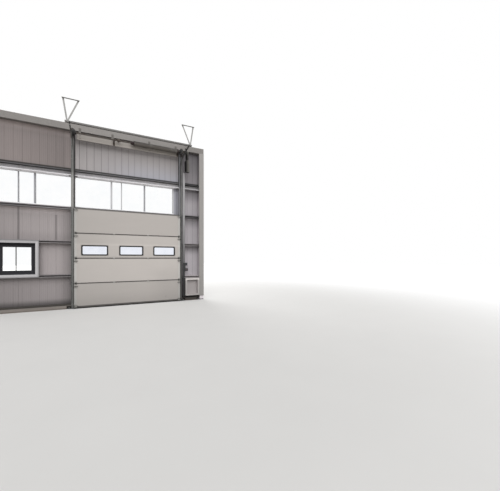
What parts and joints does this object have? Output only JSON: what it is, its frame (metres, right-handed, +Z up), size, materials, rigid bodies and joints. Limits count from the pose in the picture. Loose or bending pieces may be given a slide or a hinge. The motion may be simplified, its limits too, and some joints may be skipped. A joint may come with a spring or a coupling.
{
  "type": "sectional door wall bay",
  "caption": "Clad steel wall bay of an industrial unit, floor to eaves, with a closed sectional door, strip window and low window.",
  "frame": {"origin": "on the floor under the middle of the left column's base plate", "axes": "+X along the wall towards the corner post, +Y out of doors, +Z up; the room is on the -Y side"},
  "size_m": [6.225, 1.37, 5.6975],
  "materials": {
    "dark_steel": "matt",
    "post_steel": "satin",
    "white_sheet": "satin",
    "galvanised": "matt",
    "concrete": "matt",
    "wall_sheet": "satin",
    "anthracite": "satin",
    "glass": "clear",
    "white_board": "satin",
    "door_sheet": "satin",
    "black_plastic": "matt",
    "seal_rubber": "matt",
    "roller_plastic": "satin",
    "pale_steel": "satin",
    "spring_steel": "oiled",
    "cast_drums": "cast",
    "cable_steel": "stranded",
    "operator_case": "satin",
    "white_plastic": "satin",
    "control_plastic": "satin"
  },
  "bodies": {
    "root": {"base_plates": "dark_steel", "left_column": "post_steel", "left_door_post": "post_steel", "right_door_post": "post_steel", "corner_post": "post_steel", "corner_trim": "white_sheet", "eaves_beam": "galvanised", "window_head_rails": "galvanised", "window_sill_rails": "galvanised", "upper_side_rails": "galvanised", "lower_side_rails": "galvanised", "rail_cleats": "galvanised", "window_trimmers": "galvanised", "kerbs": "concrete", "left_wall_panels": "wall_sheet", "upper_left_panels": "wall_sheet", "upper_door_panels": "wall_sheet", "right_wall_panels": "wall_sheet", "outer_flashings": "anthracite", "strip_window_frame": "anthracite", "strip_window_glass": "glass", "low_window_lining": "white_board", "low_window_frame": "anthracite", "low_window_glass": "glass", "door_section_1": "door_sheet", "door_section_2": "door_sheet", "door_section_3": "door_sheet", "door_section_4": "door_sheet", "door_light_frames": "black_plastic", "door_light_glass": "glass", "bottom_seal": "seal_rubber", "side_seals": "seal_rubber", "door_hinges": "galvanised", "door_rollers": "roller_plastic", "vertical_tracks": "galvanised", "curved_tracks": "galvanised", "track_angles": "galvanised", "back_bar": "galvanised", "track_hangers": "galvanised", "header_rail": "pale_steel", "lift_shaft": "galvanised", "torsion_spring": "spring_steel", "bearing_brackets": "galvanised", "cable_drums": "cast_drums", "lift_cables": "cable_steel", "operator": "operator_case", "cable_trunking": "white_plastic", "door_control": "control_plastic", "wall_box": "white_plastic"}
  },
  "joints": []
}
